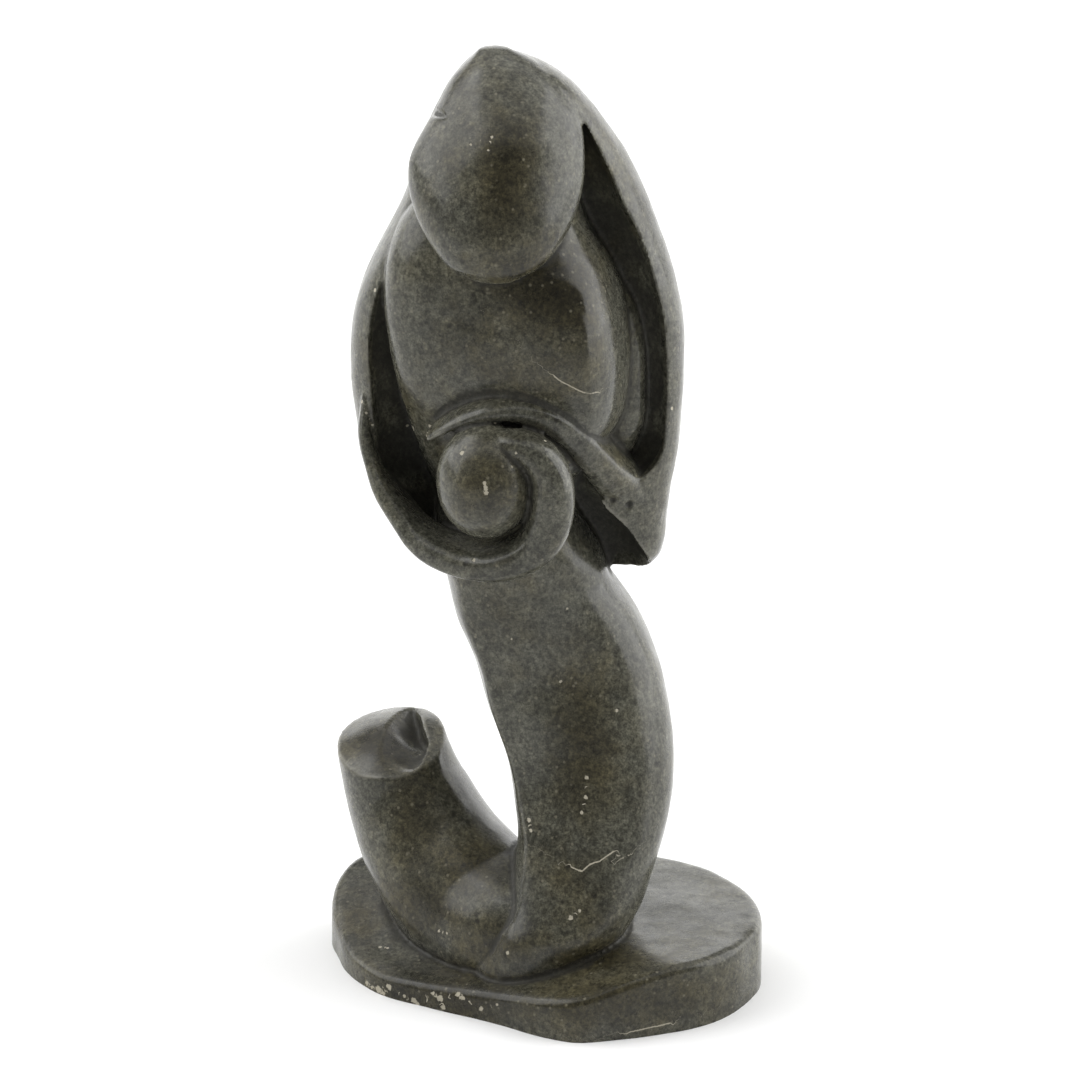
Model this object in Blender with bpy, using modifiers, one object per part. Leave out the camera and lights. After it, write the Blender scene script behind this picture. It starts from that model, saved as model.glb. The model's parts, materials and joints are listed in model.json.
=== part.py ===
"""Abstract stone figure, carved with its plinth from one block.

A hooded, faceless head bows over a broad torso. Both arms hang like straps round a deep carved recess:
the right one folds at a sharp elbow, the left one runs under a ball and curls round it like a scroll.
Below the waist the body is a thick column that sweeps down to the plinth, where a short stub
turns up again behind it and ends in a domed, notched face.

Axes: +X to the viewer's right, -Y towards the viewer, +Z up. The origin is on the underside of the plinth.
The plinth's sizes are metres. The figure is a free form, so its pose is written in shares of its own
height, measured from the plinth's high top: FIGURE_HEIGHT makes them metres.
"""

import math
from typing import NamedTuple

import bmesh
import bpy
import numpy as np
from mathutils import Matrix

FIGURE_HEIGHT = 0.278
PLINTH_WIDTH = 0.1324
PLINTH_DEPTH = 0.108
PLINTH_THICKNESS = 0.021
PLINTH_LOW_THICKNESS = 0.0068
PLINTH_MIDDLE_Y = -0.0063
PLINTH_LOW_POINT = (-0.048, -0.022)
PLINTH_SLOPE_ALONG = 0.150
PLINTH_SLOPE_ACROSS = 0.045
PLINTH_STRAIGHT_SIDE_ANGLE = -41.0
PLINTH_EDGE_RADIUS = 0.0025

STUB_END_CENTRE = (-0.173, 0.080, 0.170)
STUB_END_RADIUS = 0.20
STUB_END_TILT_TO_VIEWER = 11.0
STUB_END_TILT_TO_LEFT = 9.0

VOXELS_IN_HEIGHT = 280
SMOOTHING_ROUNDS = 5
KEPT_TRIANGLES = 9600
ROOM_BELOW = 0.006

STONE_COLOUR = (0.105, 0.102, 0.088, 1.0)
STONE_ROUGHNESS = 0.42


class Station(NamedTuple):
    """One cross-section of a limb, in shares of the figure's height, with angles in degrees.

    wide and deep are half sizes, square is the superellipse power, turn rolls the section about the spine,
    and ridge raises a crest of that share of the radius at ridge_at, counted from the viewer's left (or,
    on a limb that bends, from the inside of its bend) to the front.
    """

    x: float
    y: float
    z: float
    wide: float
    deep: float
    square: float = 2.2
    turn: float = 0.0
    ridge: float = 0.0
    ridge_at: float = 45.0


# The column, from inside the torso down to its foot in the plinth, as level sections.
COLUMN = (
    Station(-0.050, 0.010, 0.530, 0.050, 0.066, 2.2, 0, 0.00, 38),
    Station(-0.048, 0.012, 0.495, 0.066, 0.080, 2.2, 0, 0.00, 38),
    Station(-0.042, 0.014, 0.455, 0.077, 0.087, 2.3, 0, 0.00, 38),
    Station(-0.029, 0.016, 0.418, 0.086, 0.088, 2.4, 0, 0.02, 38),
    Station(-0.018, 0.020, 0.380, 0.089, 0.087, 2.5, 0, 0.05, 38),
    Station(-0.001, 0.022, 0.342, 0.097, 0.087, 2.5, 0, 0.08, 38),
    Station(0.021, 0.022, 0.292, 0.098, 0.089, 2.5, 0, 0.12, 38),
    Station(0.036, 0.014, 0.240, 0.097, 0.091, 2.5, 0, 0.15, 38),
    Station(0.049, 0.004, 0.191, 0.091, 0.091, 2.5, 0, 0.17, 38),
    Station(0.053, -0.011, 0.143, 0.086, 0.091, 2.4, 0, 0.17, 38),
    Station(0.051, -0.029, 0.103, 0.080, 0.091, 2.3, 0, 0.15, 38),
    Station(0.042, -0.043, 0.065, 0.076, 0.091, 2.3, 0, 0.11, 38),
    Station(0.033, -0.055, 0.034, 0.074, 0.091, 2.3, 0, 0.10, 40),
    Station(0.018, -0.062, 0.010, 0.076, 0.091, 2.3, 0, 0.06, 44),
    Station(0.006, -0.063, -0.007, 0.077, 0.089, 2.2, 0, 0.02, 48),
    Station(-0.006, -0.063, -0.031, 0.077, 0.086, 2.2, 0, 0.00, 50),
    Station(-0.012, -0.063, -0.052, 0.075, 0.084, 2.2, 0, 0.00, 50),
)

# The stub, from above its cut end down and round into the column's foot.
STUB = (
    Station(-0.186, 0.094, 0.222, 0.056, 0.070, 2.1, 0, 0.02, 42),
    Station(-0.173, 0.087, 0.162, 0.060, 0.072, 2.1, 0, 0.03, 42),
    Station(-0.153, 0.077, 0.095, 0.068, 0.077, 2.2, 0, 0.05, 42),
    Station(-0.119, 0.045, 0.036, 0.077, 0.083, 2.2, 0, 0.03, 42),
    Station(-0.071, -0.001, -0.006, 0.082, 0.084, 2.2, 0, 0.00, 42),
    Station(-0.021, -0.042, -0.016, 0.083, 0.084, 2.2, 0, 0.00, 42),
    Station(0.018, -0.052, -0.006, 0.073, 0.077, 2.2, 0, 0.00, 42),
)

# A diamond-shaped tool that cuts the notch across the stub's end, from its back to its front rim.
STUB_NOTCH = (
    Station(-0.156, 0.150, 0.192, 0.018, 0.010, 1.4, 0),
    Station(-0.160, 0.115, 0.190, 0.038, 0.018, 1.4, -2),
    Station(-0.165, 0.075, 0.186, 0.048, 0.023, 1.4, -4),
    Station(-0.170, 0.040, 0.179, 0.046, 0.025, 1.4, -4),
    Station(-0.177, 0.008, 0.169, 0.034, 0.022, 1.4, -2),
    Station(-0.184, -0.020, 0.158, 0.020, 0.016, 1.4, 0),
)

# The mantle is the almond of hood, arms and back, before the recess is carved into its front.
MANTLE = (
    Station(-0.055, 0.009, 0.977, 0.018, 0.016),
    Station(-0.049, 0.009, 0.969, 0.033, 0.033),
    Station(-0.040, 0.004, 0.950, 0.060, 0.058, 2.0),
    Station(-0.034, 0.006, 0.922, 0.081, 0.074, 2.0),
    Station(-0.030, 0.018, 0.886, 0.100, 0.082, 2.1),
    Station(-0.026, 0.028, 0.849, 0.117, 0.088, 2.2, 0, 0.03, 270),
    Station(-0.022, 0.035, 0.811, 0.129, 0.094, 2.3, 0, 0.04, 270),
    Station(-0.023, 0.036, 0.782, 0.141, 0.099, 2.3, 0, 0.05, 270),
    Station(-0.026, 0.036, 0.748, 0.156, 0.102, 2.4, 0, 0.05, 270),
    Station(-0.029, 0.036, 0.706, 0.171, 0.103, 2.4, 0, 0.05, 270),
    Station(-0.030, 0.036, 0.666, 0.179, 0.102, 2.4, 0, 0.05, 270),
    Station(-0.031, 0.036, 0.621, 0.181, 0.099, 2.4, 0, 0.05, 270),
    Station(-0.030, 0.032, 0.570, 0.178, 0.096, 2.4, 0, 0.05, 270),
    Station(-0.028, 0.029, 0.525, 0.172, 0.091, 2.4, 0, 0.04, 270),
    Station(-0.024, 0.025, 0.486, 0.161, 0.087, 2.5, 0, 0.03, 270),
    Station(-0.018, 0.022, 0.452, 0.150, 0.083, 2.6),
    Station(-0.010, 0.022, 0.430, 0.140, 0.080, 2.8),
    Station(-0.002, 0.025, 0.414, 0.129, 0.074, 3.0),
    Station(0.006, 0.031, 0.401, 0.115, 0.064, 3.0),
    Station(0.013, 0.036, 0.392, 0.099, 0.054, 3.0),
)

# The recess that frees the torso from the arms, cut into the mantle from the front.
RECESS = (
    Station(0.008, -0.053, 0.943, 0.012, 0.062, 2.2),
    Station(0.002, -0.053, 0.916, 0.036, 0.068, 2.6),
    Station(-0.007, -0.051, 0.884, 0.062, 0.072, 2.6),
    Station(-0.017, -0.050, 0.852, 0.087, 0.073, 2.6),
    Station(-0.021, -0.050, 0.818, 0.106, 0.073, 2.6),
    Station(-0.028, -0.050, 0.783, 0.132, 0.073, 2.6),
    Station(-0.031, -0.050, 0.758, 0.145, 0.073, 2.6),
    Station(-0.032, -0.050, 0.732, 0.153, 0.073, 2.6),
    Station(-0.032, -0.050, 0.698, 0.161, 0.073, 2.8),
    Station(-0.031, -0.050, 0.653, 0.165, 0.073, 3.0),
    Station(-0.028, -0.050, 0.602, 0.164, 0.073, 3.0),
    Station(-0.027, -0.050, 0.560, 0.160, 0.073, 3.0),
    Station(-0.027, -0.050, 0.534, 0.155, 0.073, 3.2),
    Station(-0.031, -0.050, 0.515, 0.143, 0.073, 3.2),
    Station(-0.046, -0.050, 0.495, 0.112, 0.073, 2.8),
    Station(-0.060, -0.050, 0.462, 0.080, 0.073, 2.6),
    Station(-0.064, -0.050, 0.440, 0.060, 0.073, 2.6),
)

# The hollow under the right forearm, between the scroll and the elbow.
UNDERCUT = (
    Station(0.004, -0.060, 0.552, 0.022, 0.066, 3.0),
    Station(0.011, -0.060, 0.530, 0.026, 0.070, 3.0),
    Station(0.020, -0.058, 0.506, 0.032, 0.074, 3.0),
    Station(0.028, -0.055, 0.481, 0.037, 0.076, 3.0),
    Station(0.036, -0.052, 0.458, 0.050, 0.080, 3.0),
    Station(0.042, -0.050, 0.432, 0.060, 0.082, 3.0),
    Station(0.046, -0.050, 0.412, 0.066, 0.083, 3.0),
    Station(0.048, -0.050, 0.384, 0.070, 0.083, 3.0),
    Station(0.048, -0.050, 0.356, 0.070, 0.083, 3.0),
)

TORSO = (
    Station(-0.052, 0.004, 0.825, 0.083, 0.072, 2.6, -6),
    Station(-0.056, 0.004, 0.786, 0.102, 0.083, 2.9, -10),
    Station(-0.051, 0.000, 0.750, 0.117, 0.090, 3.3, -13, 0.03, 134),
    Station(-0.044, -0.003, 0.709, 0.125, 0.094, 3.6, -15, 0.05, 134),
    Station(-0.038, -0.005, 0.665, 0.126, 0.096, 3.6, -16, 0.06, 134),
    Station(-0.033, -0.001, 0.619, 0.123, 0.092, 3.6, -16, 0.06, 134),
    Station(-0.031, 0.007, 0.574, 0.115, 0.083, 3.5, -16, 0.04, 134),
    Station(-0.038, 0.012, 0.534, 0.097, 0.074, 3.0, -12, 0.02, 134),
    Station(-0.045, 0.016, 0.497, 0.078, 0.067, 2.6, -8, 0.00, 134),
    Station(-0.044, 0.018, 0.460, 0.066, 0.064, 2.4, -4, 0.00, 134),
    Station(-0.036, 0.018, 0.420, 0.056, 0.060, 2.3, 0, 0.00, 134),
)

# A step in the recess beside the torso's right flank.
LEDGE = (
    Station(0.032, 0.026, 0.742, 0.040, 0.032, 3.0),
    Station(0.043, 0.020, 0.700, 0.053, 0.034, 3.4),
    Station(0.049, 0.016, 0.650, 0.057, 0.036, 3.8),
    Station(0.051, 0.014, 0.600, 0.057, 0.037, 4.0),
    Station(0.050, 0.014, 0.560, 0.056, 0.037, 4.0),
    Station(0.045, 0.018, 0.530, 0.050, 0.034, 3.4),
)

HEAD = (
    Station(-0.055, 0.009, 0.978, 0.018, 0.016, 2.0),
    Station(-0.049, 0.002, 0.970, 0.033, 0.033, 2.0),
    Station(-0.045, -0.010, 0.953, 0.055, 0.050, 1.9),
    Station(-0.043, -0.022, 0.934, 0.069, 0.064, 1.8),
    Station(-0.045, -0.035, 0.908, 0.083, 0.076, 1.7),
    Station(-0.052, -0.046, 0.876, 0.093, 0.082, 1.6),
    Station(-0.054, -0.057, 0.848, 0.093, 0.082, 1.6),
    Station(-0.054, -0.067, 0.825, 0.087, 0.077, 1.7),
    Station(-0.054, -0.078, 0.803, 0.077, 0.069, 1.8),
    Station(-0.054, -0.088, 0.787, 0.065, 0.057, 1.9),
    Station(-0.055, -0.097, 0.774, 0.051, 0.043, 2.0),
    Station(-0.055, -0.105, 0.764, 0.030, 0.028, 2.0),
)

# A groove behind the head's left side, which shows as a small nick where the hood ends.
HOOD_NICK = (
    Station(-0.106, -0.062, 0.926, 0.003, 0.003),
    Station(-0.119, -0.036, 0.923, 0.005, 0.005),
    Station(-0.129, -0.006, 0.919, 0.008, 0.008),
    Station(-0.136, 0.020, 0.912, 0.009, 0.009),
    Station(-0.141, 0.042, 0.904, 0.008, 0.008),
)

RIGHT_FOREARM = (
    Station(0.107, 0.010, 0.461, 0.024, 0.036, 2.0),
    Station(0.089, -0.005, 0.488, 0.025, 0.037, 2.2),
    Station(0.068, -0.025, 0.517, 0.023, 0.037, 2.8),
    Station(0.050, -0.043, 0.545, 0.020, 0.037, 3.4),
    Station(0.028, -0.063, 0.576, 0.017, 0.036, 3.6),
    Station(-0.003, -0.081, 0.601, 0.016, 0.034, 3.2),
    Station(-0.033, -0.086, 0.610, 0.014, 0.032, 2.6),
    Station(-0.065, -0.090, 0.609, 0.011, 0.030, 2.2),
    Station(-0.097, -0.082, 0.595, 0.008, 0.026, 2.0),
    Station(-0.122, -0.068, 0.575, 0.005, 0.020, 2.0),
)

LEFT_FOREARM = (
    Station(-0.196, 0.016, 0.596, 0.004, 0.030, 2.6),
    Station(-0.194, 0.004, 0.549, 0.009, 0.038, 3.0),
    Station(-0.181, -0.014, 0.513, 0.010, 0.040, 3.0),
    Station(-0.161, -0.040, 0.483, 0.013, 0.040, 3.0),
    Station(-0.135, -0.061, 0.457, 0.015, 0.039, 3.0),
    Station(-0.107, -0.083, 0.445, 0.017, 0.038, 3.0),
    Station(-0.071, -0.104, 0.442, 0.017, 0.037, 3.0),
    Station(-0.038, -0.119, 0.450, 0.020, 0.036, 2.8),
    Station(-0.012, -0.126, 0.467, 0.022, 0.034, 2.8),
    Station(0.003, -0.133, 0.495, 0.024, 0.033, 2.6),
    Station(0.007, -0.135, 0.523, 0.024, 0.032, 2.6),
    Station(0.004, -0.135, 0.550, 0.022, 0.030, 2.4),
    Station(-0.008, -0.133, 0.570, 0.020, 0.028, 2.4),
    Station(-0.027, -0.129, 0.580, 0.017, 0.026, 2.2),
    Station(-0.048, -0.122, 0.583, 0.013, 0.022, 2.2),
)

BALL_CENTRE = (-0.064, -0.115, 0.536)
BALL_HALF_SIZES = (0.054, 0.056, 0.063)

# The plinth's outline seen from above, clockwise from the left, in shares of its half width and half depth.
PLINTH_OUTLINE = (
    (-1.000, 0.410),
    (-0.975, 0.670),
    (-0.885, 0.840),
    (-0.690, 0.940),
    (-0.330, 0.995),
    (0.060, 0.990),
    (0.330, 0.930),
    (0.540, 0.830),
    (0.710, 0.700),
    (0.906, 0.394),
    (0.985, 0.120),
    (1.000, -0.090),
    (0.985, -0.250),
    (0.941, -0.394),
    (0.845, -0.610),
    (0.705, -0.775),
    (0.520, -0.885),
    (0.335, -0.957),
    (0.130, -1.000),
    (-0.005, -0.930),
    (-0.210, -0.750),
    (-0.535, -0.510),
    (-0.765, -0.320),
    (-0.850, -0.180),
    (-0.935, 0.035),
    (-0.970, 0.230),
)


def clear_scene():
    for obj in list(bpy.data.objects):
        bpy.data.objects.remove(obj)


def new_collection(name, parent=None):
    collection = bpy.data.collections.new(name)
    (parent or bpy.context.scene.collection).children.link(collection)
    return collection


def move_to(obj, collection):
    for owner in list(obj.users_collection):
        owner.objects.unlink(obj)
    collection.objects.link(obj)


def in_metres(points):
    """Shares of the figure's height to metres above the plinth's underside."""
    return np.asarray(points) * FIGURE_HEIGHT + np.array([0.0, 0.0, PLINTH_THICKNESS])


def curve_through(rows, at, wanted):
    """Cubic curve through the rows, given their places along it, read at the wanted places."""
    slopes = np.gradient(rows, at, axis=0)
    left = np.clip(np.searchsorted(at, wanted, side="right") - 1, 0, len(at) - 2)
    span = (at[left + 1] - at[left])[:, None]
    t = (wanted[:, None] - at[left][:, None]) / span
    return (
        (2 * t**3 - 3 * t**2 + 1) * rows[left]
        + (t**3 - 2 * t**2 + t) * span * slopes[left]
        + (3 * t**2 - 2 * t**3) * rows[left + 1]
        + (t**3 - t**2) * span * slopes[left + 1]
    )


def places_along(rows):
    steps = np.linalg.norm(np.diff(rows[:, :3], axis=0), axis=1)
    return np.concatenate([[0.0], np.cumsum(steps)])


def smooth_rows(stations, count):
    """The stations refined to count rows, evenly spaced along their spine."""
    rows = np.array(stations, float)
    at = places_along(rows)
    return curve_through(rows, at, np.linspace(0, at[-1], count))


def smooth_outline(points, count):
    """A closed curve through the points, as count points evenly spaced along it."""
    rows = np.array([(x, y, 0.0) for x, y in points])
    rows = np.vstack([rows[-2:], rows, rows[:3]])
    at = places_along(rows)
    wanted = np.linspace(at[2], at[-3], count, endpoint=False)
    return curve_through(rows, at, wanted)[:, :2]


def section(row, side, front, sides):
    """Points of one cross-section round its spine point."""
    _, _, _, wide, deep, square, turn, ridge, ridge_at = row
    angles = np.linspace(0, 2 * math.pi, sides, endpoint=False)
    across, ahead = np.cos(angles), np.sin(angles)
    away = np.abs((angles - math.radians(ridge_at) + math.pi) % (2 * math.pi) - math.pi)
    reach = 1 + ridge * np.exp(-away / math.radians(18))
    across = reach * wide * np.sign(across) * np.abs(across) ** (2 / square)
    ahead = reach * deep * np.sign(ahead) * np.abs(ahead) ** (2 / square)
    rolled_side = math.cos(math.radians(turn)) * side + math.sin(math.radians(turn)) * front
    rolled_front = math.cos(math.radians(turn)) * front - math.sin(math.radians(turn)) * side
    return row[:3] + np.outer(across, rolled_side) + np.outer(ahead, rolled_front)


def skin(name, rings, first_pole, last_pole, collection):
    """Closed mesh over a stack of rings, with a pole point at each end."""
    mesh = bmesh.new()
    loops = [[mesh.verts.new(point) for point in ring] for ring in rings]
    for lower, upper in zip(loops, loops[1:]):
        for i in range(len(lower)):
            j = (i + 1) % len(lower)
            mesh.faces.new((lower[i], lower[j], upper[j], upper[i]))
    for loop, pole in ((loops[0], first_pole), (loops[-1], last_pole)):
        tip = mesh.verts.new(pole)
        for i in range(len(loop)):
            mesh.faces.new((loop[i], loop[(i + 1) % len(loop)], tip))
    bmesh.ops.recalc_face_normals(mesh, faces=mesh.faces)
    data = bpy.data.meshes.new(name)
    mesh.to_mesh(data)
    mesh.free()
    obj = bpy.data.objects.new(name, data)
    collection.objects.link(obj)
    return obj


def domed_end(edge, centre, outward):
    """Rings that close the section edge with a dome reaching outward, and the dome's pole."""
    rings = [
        centre + (edge - centre) * math.cos(angle) + outward * math.sin(angle)
        for angle in np.radians((25, 50, 72))
    ]
    return rings, centre + outward


def loft(name, stations, collection, rings=64, sides=72, upright=False, dome=(0.4, 0.4)):
    """Limb through its stations, first to last. dome is how far each end bulges, in shares of its half width.

    An upright limb keeps its sections level. Its stations run from the top down.
    """
    rows = smooth_rows(stations, rings)
    tangents = np.gradient(rows[:, :3], axis=0)
    if upright:
        tangents = np.tile([0.0, 0.0, -1.0], (len(rows), 1))
    tangents /= np.linalg.norm(tangents, axis=1)[:, None]
    viewer = np.array([0.0, -1.0, 0.0])
    loops = []
    for row, along in zip(rows, tangents):
        front = viewer - viewer.dot(along) * along
        front /= np.linalg.norm(front)
        side = np.cross(front, along)
        if upright:
            side = -side
        loops.append(section(row, side, front, sides))
    start_rings, start_pole = domed_end(loops[0], rows[0, :3], -tangents[0] * dome[0] * rows[0, 3])
    end_rings, end_pole = domed_end(loops[-1], rows[-1, :3], tangents[-1] * dome[1] * rows[-1, 3])
    loops = start_rings[::-1] + loops + end_rings
    return skin(name, [in_metres(loop) for loop in loops], in_metres(start_pole), in_metres(end_pole), collection)


def ellipsoid(name, centre, half_sizes, collection):
    """Ellipsoid, given in metres."""
    bpy.ops.mesh.primitive_uv_sphere_add(segments=64, ring_count=48, radius=1.0)
    obj = bpy.context.object
    obj.name = name
    obj.data.transform(Matrix.Diagonal((*half_sizes, 1.0)))
    obj.location = centre
    move_to(obj, collection)
    return obj


def stub_end_ball(collection):
    """Large ball whose surface is the domed end of the stub, tilted to the viewer and to the left."""
    slopes = np.tan(np.radians((STUB_END_TILT_TO_LEFT, STUB_END_TILT_TO_VIEWER)))
    outward = np.array([-slopes[0], -slopes[1], 1.0])
    outward /= np.linalg.norm(outward)
    radius = STUB_END_RADIUS * FIGURE_HEIGHT
    centre = in_metres(STUB_END_CENTRE) - radius * outward
    return ellipsoid("stub_end_ball", centre, (radius, radius, radius), collection)


def plinth_top(x, y):
    """Height of the plinth's top, which dips towards a low point on its straight front-left side."""
    angle = math.radians(PLINTH_STRAIGHT_SIDE_ANGLE)
    from_low_x, from_low_y = x - PLINTH_LOW_POINT[0], y - PLINTH_LOW_POINT[1]
    along = from_low_x * math.cos(angle) + from_low_y * math.sin(angle)
    across = from_low_y * math.cos(angle) - from_low_x * math.sin(angle)
    t = np.clip(np.hypot(along / PLINTH_SLOPE_ALONG, across / PLINTH_SLOPE_ACROSS), 0, 1)
    rise = PLINTH_THICKNESS - PLINTH_LOW_THICKNESS
    return PLINTH_LOW_THICKNESS + rise * t * t * (3 - 2 * t)


def plinth(collection):
    """Slab with a sloping top and a rounded rim, deeper than the finished one so that the floor cut trims it."""
    middle = np.array([0.0, PLINTH_MIDDLE_Y])
    outline = smooth_outline(PLINTH_OUTLINE, 120) * (PLINTH_WIDTH / 2, PLINTH_DEPTH / 2)
    reach = np.linalg.norm(outline, axis=1)[:, None]
    shares_and_drops = [(share, 0.0) for share in (0.12, 0.24, 0.36, 0.48, 0.6, 0.72, 0.84)]
    for angle in np.radians((0, 30, 60, 90)):
        inset = PLINTH_EDGE_RADIUS * (1 - math.sin(angle))
        shares_and_drops.append((1 - inset / reach, PLINTH_EDGE_RADIUS * (1 - math.cos(angle))))
    loops = []
    for share, drop in shares_and_drops:
        ring = middle + outline * share
        loops.append(np.column_stack([ring, plinth_top(*ring.T) - drop]))
    loops.append(np.column_stack([middle + outline, np.full(len(outline), -ROOM_BELOW)]))
    top = (*middle, float(plinth_top(*middle)))
    return skin("plinth_form", loops, top, (*middle, -ROOM_BELOW), collection)


def evaluated_mesh(obj):
    """New mesh with the object's modifiers and place applied."""
    graph = bpy.context.evaluated_depsgraph_get()
    data = bpy.data.meshes.new_from_object(obj.evaluated_get(graph))
    data.transform(obj.matrix_world)
    return data


def carve(obj, cutter, operation="DIFFERENCE"):
    modifier = obj.modifiers.new("carve_" + cutter.name, "BOOLEAN")
    modifier.operation = operation
    modifier.object = cutter


def stone_material():
    material = bpy.data.materials.new("dark_serpentine")
    material.use_nodes = True
    shader = material.node_tree.nodes["Principled BSDF"]
    shader.inputs["Base Color"].default_value = STONE_COLOUR
    shader.inputs["Roughness"].default_value = STONE_ROUGHNESS
    shader.inputs["Metallic"].default_value = 0.0
    return material


def floor_cutter(collection):
    """Box whose top face is the plane that the plinth stands on."""
    side = 4 * PLINTH_WIDTH
    bpy.ops.mesh.primitive_cube_add(size=side, location=(0, 0, -side / 2))
    obj = bpy.context.object
    obj.name = "floor_cutter"
    move_to(obj, collection)
    return obj


def figure_forms(collection):
    """The overlapping solid forms of figure and plinth, and the tools that carve them."""
    mantle = loft("mantle_form", MANTLE, collection, upright=True, dome=(0.2, 0.1))
    head = loft("head_form", HEAD, collection, upright=True, dome=(0.2, 0.2))
    stub = loft("stub_form", STUB[:5], collection, dome=(0.1, 0.3))
    recess = loft("recess_cutter", RECESS, collection, upright=True)
    undercut = loft("undercut_cutter", UNDERCUT, collection, upright=True)
    nick = loft("hood_nick_cutter", HOOD_NICK, collection)
    notch = loft("stub_notch_cutter", STUB_NOTCH, collection)
    end_ball = stub_end_ball(collection)
    carve(mantle, recess)
    carve(mantle, undercut)
    carve(mantle, nick)
    carve(head, nick)
    carve(stub, end_ball, "INTERSECT")
    carve(stub, notch)
    ball_sizes = [FIGURE_HEIGHT * size for size in BALL_HALF_SIZES]
    solids = [
        mantle,
        head,
        stub,
        loft("stub_root_form", STUB[2:], collection, dome=(0.1, 0.3)),
        loft("column_form", COLUMN, collection, upright=True, dome=(0.3, 0.1)),
        loft("torso_form", TORSO, collection, upright=True),
        loft("ledge_form", LEDGE, collection, upright=True),
        loft("right_forearm_form", RIGHT_FOREARM, collection),
        loft("left_forearm_form", LEFT_FOREARM, collection),
        ellipsoid("ball_form", in_metres(BALL_CENTRE), ball_sizes, collection),
        plinth(collection),
    ]
    return solids, [recess, undercut, nick, notch, end_ball]


def heap(name, forms, collection):
    """One object that holds all the overlapping forms, ready to be fused."""
    mesh = bmesh.new()
    for form in forms:
        data = evaluated_mesh(form)
        mesh.from_mesh(data)
        bpy.data.meshes.remove(data)
    data = bpy.data.meshes.new(name)
    mesh.to_mesh(data)
    mesh.free()
    obj = bpy.data.objects.new(name, data)
    collection.objects.link(obj)
    return obj


def triangle_count(obj):
    data = evaluated_mesh(obj)
    count = sum(len(face.vertices) - 2 for face in data.polygons)
    bpy.data.meshes.remove(data)
    return count


def sculpture(parts, forms_in):
    solids, tools = figure_forms(forms_in)
    bpy.context.view_layer.update()
    obj = heap("sculpture", solids, parts)
    remesh = obj.modifiers.new("one_stone", "REMESH")
    remesh.mode = "VOXEL"
    remesh.voxel_size = FIGURE_HEIGHT / VOXELS_IN_HEIGHT
    remesh.use_smooth_shade = True
    polish = obj.modifiers.new("polish", "SMOOTH")
    polish.factor = 0.5
    polish.iterations = SMOOTHING_ROUNDS
    bpy.context.view_layer.update()
    fine_triangles = triangle_count(obj)
    thin = obj.modifiers.new("fewer_faces", "DECIMATE")
    thin.ratio = KEPT_TRIANGLES / fine_triangles
    cutter = floor_cutter(forms_in)
    carve(obj, cutter)
    obj.data.materials.append(stone_material())
    for form in solids + tools + [cutter]:
        form.hide_render = True
        form.display_type = "WIRE"
    return obj


def main():
    clear_scene()
    parts = new_collection("abstract_stone_sculpture")
    forms_in = new_collection("carving_forms")
    sculpture(parts, forms_in)


main()
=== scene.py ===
"""Looks of the abstract stone figure: its fine surface, the stone, a pale floor, soft light and the camera.

The figure is made again from the same forms and shares as its solid, on a finer grid, so that ridges, rims
and creases stay crisp. A groove is carved round its foot, and it gets chips, pits, scratches and slightly
uneven hand-worked faces. Marks are placed by where they show from the front, in millimetres from the
picture's middle.

Axes: +X to the viewer's right, -Y towards the viewer, +Z up. The origin is on the underside of the plinth.
"""

import json
import math
from typing import NamedTuple

import bmesh
import bpy
import numpy as np
from mathutils import Matrix, Vector
from mathutils.bvhtree import BVHTree

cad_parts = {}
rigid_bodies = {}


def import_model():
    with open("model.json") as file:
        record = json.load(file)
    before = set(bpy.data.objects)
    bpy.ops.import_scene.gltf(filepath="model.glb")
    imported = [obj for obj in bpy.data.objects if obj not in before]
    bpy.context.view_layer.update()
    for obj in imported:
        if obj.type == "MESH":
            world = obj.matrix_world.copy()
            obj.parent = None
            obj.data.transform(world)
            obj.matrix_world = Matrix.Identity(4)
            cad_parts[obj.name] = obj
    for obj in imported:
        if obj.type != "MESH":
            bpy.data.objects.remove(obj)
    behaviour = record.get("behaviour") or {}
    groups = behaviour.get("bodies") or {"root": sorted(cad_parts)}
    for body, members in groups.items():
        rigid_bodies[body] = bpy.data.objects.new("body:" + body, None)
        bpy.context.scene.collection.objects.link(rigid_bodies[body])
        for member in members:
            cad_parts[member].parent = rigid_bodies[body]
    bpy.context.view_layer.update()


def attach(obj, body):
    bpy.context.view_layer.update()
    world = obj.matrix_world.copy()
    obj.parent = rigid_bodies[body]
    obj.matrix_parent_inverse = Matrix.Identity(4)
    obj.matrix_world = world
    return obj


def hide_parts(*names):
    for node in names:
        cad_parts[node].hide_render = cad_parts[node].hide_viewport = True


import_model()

# Sizes of the solid, in metres, with the angle in degrees.
FIGURE_HEIGHT = 0.278
PLINTH_WIDTH = 0.1324
PLINTH_DEPTH = 0.108
PLINTH_THICKNESS = 0.021
PLINTH_LOW_THICKNESS = 0.0068
PLINTH_MIDDLE_Y = -0.0063
PLINTH_LOW_POINT = (-0.048, -0.022)
PLINTH_SLOPE_ALONG = 0.150
PLINTH_SLOPE_ACROSS = 0.045
PLINTH_STRAIGHT_SIDE_ANGLE = -41.0
PLINTH_EDGE_RADIUS = 0.0025
ROOM_BELOW = 0.006

# The large ball that domes the stub's cut end, in shares of the figure's height, with its tilts in degrees.
STUB_END_CENTRE = (-0.173, 0.080, 0.170)
STUB_END_RADIUS = 0.20
STUB_END_TILT_TO_VIEWER = 11.0
STUB_END_TILT_TO_LEFT = 9.0

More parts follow.
